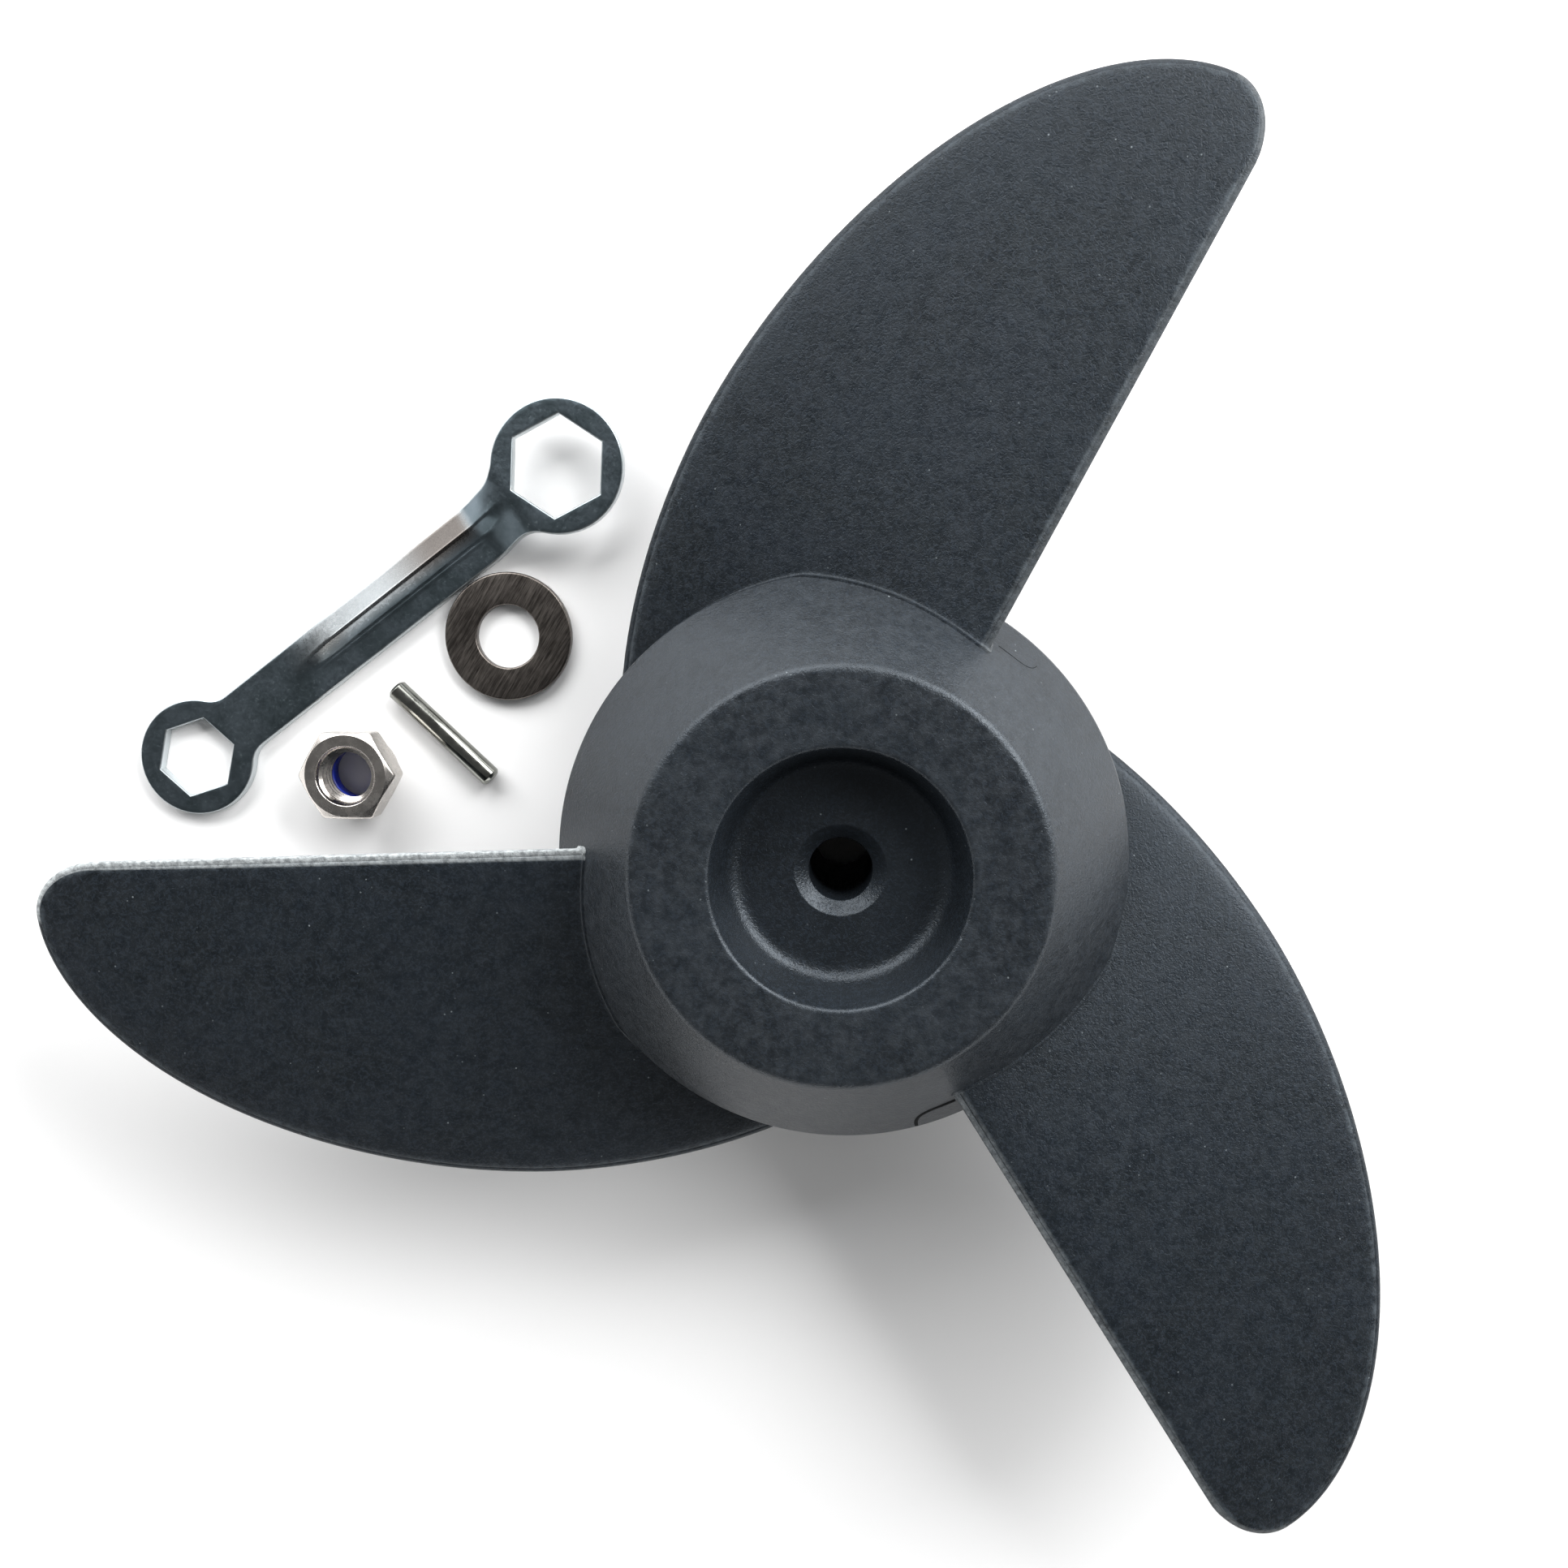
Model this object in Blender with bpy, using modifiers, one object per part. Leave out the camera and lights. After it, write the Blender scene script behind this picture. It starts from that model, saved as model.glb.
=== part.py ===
"""A three-bladed electric outboard propeller, with the drive pin, washer, lock nut and ring spanner of its kit.

The propeller lies on its forward rim with its nut side up. The origin is on the shaft axis, in the plane of
that rim, and +Z points aft along the shaft.
"""

import math

import bpy
from mathutils import Matrix, Vector

MM = 0.001
GAP = 0.3 * MM  # between solids that touch on the real object

# Hub: a straight barrel that follows the motor housing, then a cone up to the aft face
HUB_BASE_R = 46.7 * MM
HUB_RIM_R = 47.5 * MM
HUB_RIM_Z = 33 * MM
HUB_FACE_R = 32.7 * MM
HUB_FACE_Z = 52 * MM
HUB_WALL = 4 * MM
HUB_STEPS = 72
RECESS_R = 20.4 * MM
RECESS_FLOOR_R = 17.6 * MM
RECESS_FLOOR_Z = 43 * MM
RECESS_FLOOR_THICKNESS = 6 * MM
BORE_R = 5.1 * MM
COUNTERSINK_R = 7.4 * MM
COUNTERSINK_DEPTH = 1.6 * MM
BOSS_R = 16 * MM
BOSS_FACE_Z = 6 * MM
RIB_COUNT = 6
RIB_THICKNESS = 3 * MM
RIB_FACE_Z = 11 * MM

# Blades: cylindrical sections of a constant-pitch screw whose trailing edges lie in one plane
BLADE_COUNT = 3
BLADE_FIRST_ANGLE = math.radians(62)
TIP_R = 135.3 * MM
PITCH = 80 * MM
TRAILING_OFFSET = 4.1 * MM
TRAILING_Z = 39.4 * MM
TIP_CORNER = 11 * MM
TIP_PEAK_X = -4.8 * MM
LEADING_CENTRE_Y = 49.5 * MM
LEADING_WIDTH = 50 * MM
LEADING_ROOT_LENGTH = 81 * MM
LEADING_FULLNESS = 1.85
BLADE_START_R = 40 * MM
ROOT_THICKNESS = 5.6 * MM
TIP_THICKNESS = 2.8 * MM
EDGE_THICKNESS = 2.0 * MM
SECTION_COUNT = 30
CHORD_STEPS = 14
TIP_FACET = 0.15 * MM  # how far short of the full radius the last section stops

# Drive pin, washer and lock nut
PIN_R = 2 * MM
PIN_LENGTH = 25 * MM
PIN_CHAMFER = 0.4 * MM
PIN_CENTRE = (-75.7 * MM, 18.6 * MM)
PIN_ANGLE = math.radians(-43.5)
PIN_SLOT_CLEARANCE = 0.2 * MM
PIN_SLOT_DEPTH = 6 * MM
WASHER_R = 12 * MM
WASHER_HOLE_R = 5.9 * MM
WASHER_THICKNESS = 2 * MM
WASHER_BEVEL = 0.3 * MM
WASHER_CENTRE = (-63.1 * MM, 36.9 * MM)
NUT_ACROSS_FLATS = 16 * MM
NUT_HEIGHT = 10.5 * MM
NUT_HEX_BASE_Z = 3.6 * MM
NUT_BORE_R = 4.4 * MM
NUT_COUNTERSINK_R = 5.6 * MM
NUT_FACE_R = 7.6 * MM
NUT_COLLAR_R = 6.9 * MM
NUT_COLLAR_CURL = 1.2 * MM  # height over which the collar's edge is rolled in over the nylon
NUT_CENTRE = (-92 * MM, 11.2 * MM)
NUT_ANGLE = 0.0
INSERT_R = 6.0 * MM
INSERT_HOLE_R = 4.6 * MM
INSERT_BASE_Z = 0.9 * MM
INSERT_HEIGHT = 2.9 * MM

# Ring spanner, pressed from one plate: a 13 mm ring, a ribbed handle, a crank and a 16 mm ring
PLATE = 2.5 * MM
SPANNER_SMALL_CENTRE = (-123.7 * MM, 13.9 * MM)
SPANNER_ANGLE = math.radians(36.9)
SPANNER_CENTRES = 89.5 * MM
SMALL_RING_R = 11 * MM
SMALL_HEX_FLATS = 13.2 * MM
SMALL_HEX_ANGLE = math.radians(-42)
LARGE_RING_R = 12.2 * MM
LARGE_HEX_FLATS = 16.2 * MM
LARGE_HEX_ANGLE = math.radians(27)
HANDLE_WIDTH = 11.4 * MM
RIB_HEIGHT = 2.6 * MM
RIB_CREST = 0.12  # of the handle's width, from its middle towards its upper-left edge
RIB_FOOT = -0.08
RIB_START = 24 * MM
RIB_FULL = 40 * MM
CRANK_START = 72 * MM
CRANK_END = 79 * MM
CRANK_RISE = 5 * MM
FLARE = 0.16  # the handle's widening, as a share of its width, where it meets the large ring
FLARE_START = 66 * MM
HANDLE_STEPS = 34

# Colours, roughness and metallic values
MATERIALS = {
    "moulded_plastic": ((0.035, 0.042, 0.050), 0.55, 0.0),
    "nut_steel": ((0.62, 0.60, 0.58), 0.22, 1.0),
    "nylon": ((0.02, 0.04, 0.35), 0.45, 0.0),
    "washer_steel": ((0.32, 0.30, 0.28), 0.35, 1.0),
    "pin_steel": ((0.60, 0.60, 0.57), 0.25, 1.0),
    "zinc_plate": ((0.36, 0.40, 0.42), 0.38, 1.0),
}


def clear_scene():
    for old in list(bpy.data.objects):
        bpy.data.objects.remove(old, do_unlink=True)


def new_collection(name):
    collection = bpy.data.collections.new(name)
    bpy.context.scene.collection.children.link(collection)
    return collection


def make_material(name):
    colour, roughness, metallic = MATERIALS[name]
    material = bpy.data.materials.new(name)
    material.use_nodes = True
    shader = material.node_tree.nodes["Principled BSDF"]
    shader.inputs["Base Color"].default_value = (*colour, 1.0)
    shader.inputs["Roughness"].default_value = roughness
    shader.inputs["Metallic"].default_value = metallic
    return material


def new_part(name, mesh, collection, material=None, location=(0, 0, 0), angle=0.0):
    part = bpy.data.objects.new(name, mesh)
    part.location = location
    part.rotation_euler.z = angle
    collection.objects.link(part)
    if material:
        mesh.materials.append(material)
        mesh.shade_smooth()
        mesh.set_sharp_from_angle(angle=math.radians(35))
    else:
        part.hide_render = True
        part.display_type = "WIRE"
    return part


def turned(name, profile, collection, material=None, steps=48, location=(0, 0, 0)):
    """A part turned about Z from a closed (radius, height) profile that runs down its outer side."""
    mesh = bpy.data.meshes.new(name)
    count = len(profile)
    edges = [(i, (i + 1) % count) for i in range(count)]
    if profile[0][0] == 0 and profile[-1][0] == 0:
        edges.pop()
    mesh.from_pydata([(r, 0, z) for r, z in profile], edges, [])
    part = new_part(name, mesh, collection, material, location)
    screw = part.modifiers.new("turn", "SCREW")
    screw.steps = screw.render_steps = steps
    screw.use_merge_vertices = True
    screw.merge_threshold = 0.00001
    screw.use_smooth_shade = True
    return part


def box(name, low, high, collection, angle=0.0):
    """A box cutter between two corners, turned about Z."""
    size = [h - l for l, h in zip(low, high)]
    middle = [(h + l) / 2 for l, h in zip(low, high)]
    bpy.ops.mesh.primitive_cube_add(size=1)
    part = bpy.context.object
    part.name = name
    part.data.transform(Matrix.Translation(middle) @ Matrix.Diagonal((*size, 1)))
    part.rotation_euler.z = angle
    return as_cutter(part, collection)


def hexagon(name, flats, low, high, centre, angle, collection):
    """A hexagonal prism between two heights, flats across, with a corner at the angle."""
    bpy.ops.mesh.primitive_cylinder_add(vertices=6, radius=flats / math.sqrt(3), depth=high - low)
    part = bpy.context.object
    part.name = name
    part.data.transform(Matrix.Rotation(math.pi / 2, 4, "Z"))
    part.location = (*centre, (low + high) / 2)
    part.rotation_euler.z = angle
    return as_cutter(part, collection)


def as_cutter(part, collection):
    for owner in part.users_collection:
        owner.objects.unlink(part)
    collection.objects.link(part)
    part.hide_render = True
    part.display_type = "WIRE"
    return part


def boolean(part, other, operation="DIFFERENCE"):
    modifier = part.modifiers.new(operation.lower(), "BOOLEAN")
    modifier.operation = operation
    modifier.object = other
    return modifier


def hub_profile():
    """Half section of the hub without its forward pockets, down the outside and back up the bore."""
    return [
        (HUB_FACE_R, HUB_FACE_Z),
        (HUB_RIM_R, HUB_RIM_Z),
        (HUB_BASE_R, 0),
        (BORE_R, 0),
        (BORE_R, RECESS_FLOOR_Z - COUNTERSINK_DEPTH),
        (COUNTERSINK_R, RECESS_FLOOR_Z),
        (RECESS_FLOOR_R, RECESS_FLOOR_Z),
        (RECESS_R, HUB_FACE_Z),
    ]


def hub_envelope(clearance):
    """Half section of the hub's outer shape, solid through the axis, grown by a clearance."""
    return [
        (0, HUB_FACE_Z + clearance),
        (HUB_FACE_R + clearance, HUB_FACE_Z + clearance),
        (HUB_RIM_R + clearance, HUB_RIM_Z + clearance / 2),
        (HUB_BASE_R + clearance, -clearance),
        (0, -clearance),
    ]


def make_pockets(cutters):
    """The hollow between the outer wall and the boss, left in six by the radial ribs."""
    wall_r = HUB_BASE_R - HUB_WALL
    slope = (HUB_RIM_R - HUB_FACE_R) / (HUB_FACE_Z - HUB_RIM_Z)
    roof_z = HUB_FACE_Z - HUB_WALL - MM
    roof_r = HUB_RIM_R - HUB_WALL - slope * (roof_z - HUB_RIM_Z) - MM
    floor_r = RECESS_R + HUB_WALL
    floor_z = RECESS_FLOOR_Z - RECESS_FLOOR_THICKNESS
    pockets = turned(
        "hub_pockets",
        [
            (floor_r, roof_z),
            (roof_r, roof_z),
            (wall_r, HUB_RIM_Z - MM),
            (wall_r, BOSS_FACE_Z - MM),
            (BOSS_R, BOSS_FACE_Z - MM),
            (BOSS_R, floor_z),
            (floor_r, floor_z),
        ],
        cutters,
        steps=HUB_STEPS,
    )
    for index in range(RIB_COUNT // 2):
        rib = box(
            f"hub_rib_{index + 1}",
            (-2 * HUB_RIM_R, -RIB_THICKNESS / 2, RIB_FACE_Z),
            (2 * HUB_RIM_R, RIB_THICKNESS / 2, HUB_FACE_Z),
            cutters,
            2 * math.pi * index / RIB_COUNT,
        )
        boolean(pockets, rib)
    return pockets


def make_hub(parts, cutters, material):
    hub = turned("hub", hub_profile(), parts, material, HUB_STEPS)
    boolean(hub, make_pockets(cutters))
    mouth_r = HUB_BASE_R - HUB_WALL
    mouth_profile = [(0, BOSS_FACE_Z), (mouth_r, BOSS_FACE_Z), (mouth_r, -MM), (0, -MM)]
    boolean(hub, turned("hub_mouth", mouth_profile, cutters, steps=HUB_STEPS))
    half_length = PIN_LENGTH / 2 + PIN_SLOT_CLEARANCE
    half_width = PIN_R + PIN_SLOT_CLEARANCE
    slot = box(
        "pin_slot",
        (-half_length, -half_width, BOSS_FACE_Z - MM),
        (half_length, half_width, BOSS_FACE_Z + PIN_SLOT_DEPTH),
        cutters,
    )
    boolean(hub, slot)
    return hub


def leading_point(turn):
    """Point of the leading edge in the blade's own plan: 0 at the widest place, positive towards the tip."""
    if turn < 0:
        return (
            TIP_PEAK_X - LEADING_WIDTH * math.cos(turn),
            LEADING_CENTRE_Y + LEADING_ROOT_LENGTH * math.sin(turn),
        )
    power = 2 / LEADING_FULLNESS
    return (
        TIP_PEAK_X - LEADING_WIDTH * math.cos(turn) ** power,
        LEADING_CENTRE_Y + (TIP_R - LEADING_CENTRE_Y) * math.sin(turn) ** power,
    )


def corner_point(turn):
    """Point of the rounded corner between the straight trailing edge, at 0, and the tip, at a right angle."""
    return (
        TIP_PEAK_X + (TRAILING_OFFSET - TIP_PEAK_X) * math.cos(turn),
        TIP_R - TIP_CORNER + TIP_CORNER * math.sin(turn),
    )


def angle_where(edge, radius, low, high):
    """Angle about the shaft, from the blade's own Y axis, at which an edge curve crosses a radius."""
    for _ in range(40):
        middle = (low + high) / 2
        if math.hypot(*edge(middle)) < radius:
            low = middle
        else:
            high = middle
    x, y = edge(low)
    return math.atan2(-x, y)


def trailing_angle(radius):
    if radius < math.hypot(*corner_point(0)):
        return -math.asin(TRAILING_OFFSET / radius)
    return angle_where(corner_point, radius, 0, math.pi / 2)


def leading_angle(radius):
    return angle_where(leading_point, radius, -math.pi / 5, math.pi / 2)


def blade_section(radius):
    """Loop of points round the blade where a cylinder about the shaft cuts it."""
    lead = PITCH / (2 * math.pi)
    start, end = trailing_angle(radius), leading_angle(radius)
    root_share = (TIP_R - radius) / (TIP_R - BLADE_START_R)
    middle_thickness = TIP_THICKNESS + (ROOT_THICKNESS - TIP_THICKNESS) * root_share
    faces = {1: [], -1: []}
    for step in range(CHORD_STEPS + 1):
        share = (1 - math.cos(math.pi * step / CHORD_STEPS)) / 2
        angle = start + (end - start) * share
        fullness = math.sqrt(4 * share * (1 - share))
        half = (EDGE_THICKNESS + (middle_thickness - EDGE_THICKNESS) * fullness) / 2
        height = TRAILING_Z - lead * (angle + math.asin(TRAILING_OFFSET / radius))
        for side, points in faces.items():
            points.append((-radius * math.sin(angle), radius * math.cos(angle), height + side * half))
    return faces[1] + faces[-1][::-1]


def blade_mesh():
    """Sections lofted from inside the hub to the tip, close together where the tip rounds off."""
    last_r = TIP_R - TIP_FACET
    points, faces = [], []
    for index in range(SECTION_COUNT):
        share = math.sin(math.pi / 2 * index / (SECTION_COUNT - 1))
        points += blade_section(BLADE_START_R + (last_r - BLADE_START_R) * share)
    loop = 2 * (CHORD_STEPS + 1)
    for index in range(SECTION_COUNT - 1):
        for corner in range(loop):
            following = (corner + 1) % loop
            below, above = index * loop, (index + 1) * loop
            faces.append((below + corner, above + corner, above + following, below + following))
    for step in range(CHORD_STEPS):
        last = (SECTION_COUNT - 1) * loop
        faces.append((step, step + 1, loop - 2 - step, loop - 1 - step))
        faces.append((last + step, last + loop - 1 - step, last + loop - 2 - step, last + step + 1))
    mesh = bpy.data.meshes.new("blade")
    mesh.from_pydata(points, [], faces)
    return mesh


def make_blades(parts, cutters, material):
    envelope = turned("hub_envelope", hub_envelope(GAP), cutters, steps=HUB_STEPS)
    for index in range(BLADE_COUNT):
        angle = BLADE_FIRST_ANGLE - math.pi / 2 + 2 * math.pi * index / BLADE_COUNT
        blade = new_part(f"blade_{index + 1}", blade_mesh(), parts, material, angle=angle)
        boolean(blade, envelope)


def make_washer(parts, material):
    outer, inner, top = WASHER_R, WASHER_HOLE_R, WASHER_THICKNESS
    profile = [
        (outer - WASHER_BEVEL, top),
        (outer, top - WASHER_BEVEL),
        (outer, WASHER_BEVEL),
        (outer - WASHER_BEVEL, 0),
        (inner, 0),
        (inner, top),
    ]
    turned("washer", profile, parts, material, location=(*WASHER_CENTRE, 0))


def make_pin(parts, material):
    half = PIN_LENGTH / 2
    profile = [
        (0, half),
        (PIN_R - PIN_CHAMFER, half),
        (PIN_R, half - PIN_CHAMFER),
        (PIN_R, PIN_CHAMFER - half),
        (PIN_R - PIN_CHAMFER, -half),
        (0, -half),
    ]
    pin = turned("drive_pin", profile, parts, material, steps=32, location=(*PIN_CENTRE, PIN_R))
    pin.rotation_euler = (0, math.pi / 2, PIN_ANGLE)


def make_lock_nut(parts, cutters, steel, nylon):
    """The nut lies on its nylon collar with its bearing face up."""
    corner_r = NUT_ACROSS_FLATS / math.sqrt(3)
    seat_r = INSERT_R + GAP
    seat_z = INSERT_BASE_Z + INSERT_HEIGHT + GAP
    rise = (corner_r - NUT_FACE_R) * math.tan(math.radians(30))
    profile = [
        (NUT_FACE_R, NUT_HEIGHT),
        (corner_r + MM, NUT_HEIGHT - rise - MM * math.tan(math.radians(30))),
        (corner_r + MM, NUT_HEX_BASE_Z + rise),
        (NUT_COLLAR_R, NUT_HEX_BASE_Z),
        (NUT_COLLAR_R, NUT_COLLAR_CURL),
        (INSERT_R, 0),
        (NUT_COUNTERSINK_R, 0),
        (NUT_COUNTERSINK_R, INSERT_BASE_Z - GAP),
        (seat_r, INSERT_BASE_Z - GAP),
        (seat_r, seat_z),
        (NUT_BORE_R, seat_z),
        (NUT_BORE_R, NUT_HEIGHT - NUT_COUNTERSINK_R + NUT_BORE_R),
        (NUT_COUNTERSINK_R, NUT_HEIGHT),
    ]
    nut = turned("lock_nut", profile, parts, steel, location=(*NUT_CENTRE, 0))
    blank = hexagon("nut_hexagon", NUT_ACROSS_FLATS, -MM, NUT_HEIGHT + MM, NUT_CENTRE, NUT_ANGLE, cutters)
    boolean(nut, blank, "INTERSECT")
    ring = [
        (INSERT_R, INSERT_HEIGHT),
        (INSERT_R, 0),
        (INSERT_HOLE_R, 0),
        (INSERT_HOLE_R, INSERT_HEIGHT),
    ]
    turned("nylon_insert", ring, parts, nylon, location=(*NUT_CENTRE, INSERT_BASE_Z))


def smooth_step(low, high, value):
    share = min(max((value - low) / (high - low), 0), 1)
    return share * share * (3 - 2 * share)


def handle_height(along, across):
    """How far the handle's plate is pressed up at a point, along from the small ring and across its width."""
    crest, foot, edge = (RIB_CREST * HANDLE_WIDTH, RIB_FOOT * HANDLE_WIDTH, HANDLE_WIDTH / 2)
    if across >= crest:
        share = (edge - across) / (edge - crest)
    else:
        share = max((across - foot) / (crest - foot), 0)
    pressed = smooth_step(RIB_START, RIB_FULL, along) * (1 - smooth_step(CRANK_START, CRANK_END, along))
    lifted = smooth_step(CRANK_START, CRANK_END, along)
    return RIB_HEIGHT * share * pressed + CRANK_RISE * lifted


def handle_mesh():
    """The handle's plate, lofted from a section with a pressed rib."""
    overlap = 3 * MM
    start, end = SMALL_RING_R - overlap, SPANNER_CENTRES - LARGE_RING_R + overlap
    half = HANDLE_WIDTH / 2
    stations = [start + (end - start) * index / HANDLE_STEPS for index in range(HANDLE_STEPS + 1)]
    across = [-half, RIB_FOOT * HANDLE_WIDTH, RIB_CREST * HANDLE_WIDTH, half]
    points, faces = [], []
    for along in stations:
        flare = 1 + FLARE * smooth_step(FLARE_START, end, along)
        for thickness, row in ((PLATE, across), (0, across[::-1])):
            for side in row:
                height = handle_height(along, side) + thickness
                points.append((along, side * flare, height))
    loop = 2 * len(across)
    for index in range(HANDLE_STEPS):
        for corner in range(loop):
            following = (corner + 1) % loop
            below, above = index * loop, (index + 1) * loop
            faces.append((below + corner, below + following, above + following, above + corner))
    last = HANDLE_STEPS * loop
    for step in range(len(across) - 1):
        faces.append((step, loop - 1 - step, loop - 2 - step, step + 1))
        faces.append((last + step, last + step + 1, last + loop - 2 - step, last + loop - 1 - step))
    mesh = bpy.data.meshes.new("spanner")
    mesh.from_pydata(points, [], faces)
    return mesh


def spanner_place(along):
    """Point of the spanner's centre line in the plan, measured from its small ring."""
    direction = Vector((math.cos(SPANNER_ANGLE), math.sin(SPANNER_ANGLE)))
    return tuple(Vector(SPANNER_SMALL_CENTRE) + along * direction)


def ring_blank(name, radius, along, low, collection):
    profile = [(0, low + PLATE), (radius, low + PLATE), (radius, low), (0, low)]
    return turned(name, profile, collection, location=(*spanner_place(along), 0))


def make_spanner(parts, cutters, material):
    spanner = new_part(
        "spanner", handle_mesh(), parts, material, (*SPANNER_SMALL_CENTRE, 0), SPANNER_ANGLE
    )
    rings = (
        ("small", SMALL_RING_R, SMALL_HEX_FLATS, SMALL_HEX_ANGLE, 0, 0),
        ("large", LARGE_RING_R, LARGE_HEX_FLATS, LARGE_HEX_ANGLE, SPANNER_CENTRES, CRANK_RISE),
    )
    for name, radius, flats, angle, along, low in rings:
        boolean(spanner, ring_blank(f"{name}_ring", radius, along, low, cutters), "UNION")
        bottom, top = low - 2 * PLATE, low + 3 * PLATE
        boolean(spanner, hexagon(f"{name}_hexagon", flats, bottom, top, spanner_place(along), angle, cutters))


def main():
    clear_scene()
    parts = new_collection("propeller")
    cutters = new_collection("cutters")
    material = {name: make_material(name) for name in MATERIALS}
    make_hub(parts, cutters, material["moulded_plastic"])
    make_blades(parts, cutters, material["moulded_plastic"])
    make_washer(parts, material["washer_steel"])
    make_pin(parts, material["pin_steel"])
    make_lock_nut(parts, cutters, material["nut_steel"], material["nylon"])
    make_spanner(parts, cutters, material["zinc_plate"])


main()
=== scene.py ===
"""Looks of an electric outboard propeller and its kit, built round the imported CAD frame."""

import math

import bmesh
import bpy
import numpy as np
from mathutils import Matrix, Vector
from mathutils.geometry import delaunay_2d_cdt


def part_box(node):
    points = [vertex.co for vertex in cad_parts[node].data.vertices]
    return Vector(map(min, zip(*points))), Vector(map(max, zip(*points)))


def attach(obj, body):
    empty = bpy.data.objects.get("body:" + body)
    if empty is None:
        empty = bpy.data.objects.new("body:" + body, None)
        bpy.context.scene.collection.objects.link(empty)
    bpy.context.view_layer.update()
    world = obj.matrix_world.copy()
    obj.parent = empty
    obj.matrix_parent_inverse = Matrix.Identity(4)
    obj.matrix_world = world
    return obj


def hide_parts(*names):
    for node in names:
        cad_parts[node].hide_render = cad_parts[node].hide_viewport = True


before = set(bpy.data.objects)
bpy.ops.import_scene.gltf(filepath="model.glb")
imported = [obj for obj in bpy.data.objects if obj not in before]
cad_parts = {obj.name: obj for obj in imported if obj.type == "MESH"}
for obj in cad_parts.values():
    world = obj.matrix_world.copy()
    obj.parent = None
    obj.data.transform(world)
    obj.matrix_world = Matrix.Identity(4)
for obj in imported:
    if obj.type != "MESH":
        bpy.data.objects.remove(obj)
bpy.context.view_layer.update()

MM = 0.001
CREASE = 32  # degrees

# Hub, as in the CAD
HUB_BASE_R = 46.7 * MM
HUB_RIM_R = 47.5 * MM
HUB_RIM_Z = 33 * MM
HUB_FACE_R = 32.7 * MM
HUB_FACE_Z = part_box("hub")[1].z
HUB_WALL = 4 * MM
HUB_TURN_STEPS = 240
RECESS_R = 20.4 * MM
RECESS_FLOOR_R = 17.6 * MM
RECESS_FLOOR_Z = 43 * MM
RECESS_FLOOR_THICKNESS = 6 * MM
BORE_R = 5.1 * MM
COUNTERSINK_R = 7.4 * MM
COUNTERSINK_DEPTH = 1.6 * MM
BOSS_R = 16 * MM
BOSS_FACE_Z = 6 * MM
RIB_COUNT = 6
RIB_THICKNESS = 3 * MM
RIB_FACE_Z = 11 * MM
PIN_SLOT_LENGTH = 25.4 * MM
PIN_SLOT_WIDTH = 4.4 * MM
PIN_SLOT_DEPTH = 6 * MM
OVERLAP = 1 * MM  # how far a rib or a cutter runs into what it joins

# Blades, as in the CAD
BLADE_COUNT = 3
BLADE_FIRST_ANGLE = math.radians(62)
TIP_R = 135.1 * MM  # the CAD's tip, less the corner that its last section cuts off
LEAD = 80 * MM / (2 * math.pi)  # pitch for each radian
TRAILING_OFFSET = 4.1 * MM
TRAILING_Z = 39.4 * MM
TIP_CORNER = 11 * MM
TIP_PEAK_X = -4.8 * MM
LEADING_CENTRE_Y = 49.5 * MM
LEADING_WIDTH = 50 * MM
LEADING_ROOT_LENGTH = 81 * MM
LEADING_FULLNESS = 1.85
BLADE_START_R = 40 * MM
ROOT_THICKNESS = 5.6 * MM
TIP_THICKNESS = 2.8 * MM
EDGE_HALF = 1.0 * MM
OUTLINE_ROWS = 220
CHORD_STEPS = 44
EDGE_STEPS = 12
BLADE_ROWS = 84
ROOT_FILLET = 0.5 * MM
TRAILING_WEAR_AND_HIGHLIGHT = (0.12, 0.9, 0.2)  # how pale and rough each blade's trimmed trailing edge is; the left blade's far paler edge is partly a painted highlight where its trailing face catches the key light
ROOT_ROWS = (-0.6, 0, 0.06, 0.15, 0.28, 0.45, 0.8, 1.3, 2.0)  # mm outside the hub's surface

# Spanner, as in the CAD
PLATE = 2.5 * MM
SPANNER_SMALL_CENTRE = (-123.7 * MM, 13.9 * MM)
SPANNER_ANGLE = math.radians(36.9)
SPANNER_CENTRES = 89.5 * MM
SMALL_RING_R = 11 * MM
SMALL_HEX_FLATS = 13.2 * MM
SMALL_HEX_ANGLE = math.radians(-42) - SPANNER_ANGLE
LARGE_RING_R = 12.2 * MM
LARGE_HEX_FLATS = 16.2 * MM
LARGE_HEX_ANGLE = math.radians(27) - SPANNER_ANGLE
HANDLE_WIDTH = 11.4 * MM
RIB_HEIGHT = 2.6 * MM
RIB_CREST = 0.12
RIB_FOOT = -0.08
RIB_START = 24 * MM
RIB_FULL = 36 * MM  # a steeper start than the CAD's
CRANK_START = 71 * MM
CRANK_END = 79 * MM
CRANK_RISE = 5 * MM
SHEARED_ROUND = 0.3 * MM
PLATE_GRID = 0.75 * MM
FOLD_GRID = 0.15 * MM
FOLD_ROWS = range(-16, 20)  # rows of the finer grid, which cover the rib's foot and crest

# Washer and drive pin, as in the CAD
WASHER_HOLE_R = 5.9 * MM
PIN_R = 2 * MM
PIN_LENGTH = 25 * MM
PIN_CHAMFER = 0.5 * MM
PIN_ANGLE = math.radians(-43.5)

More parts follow.
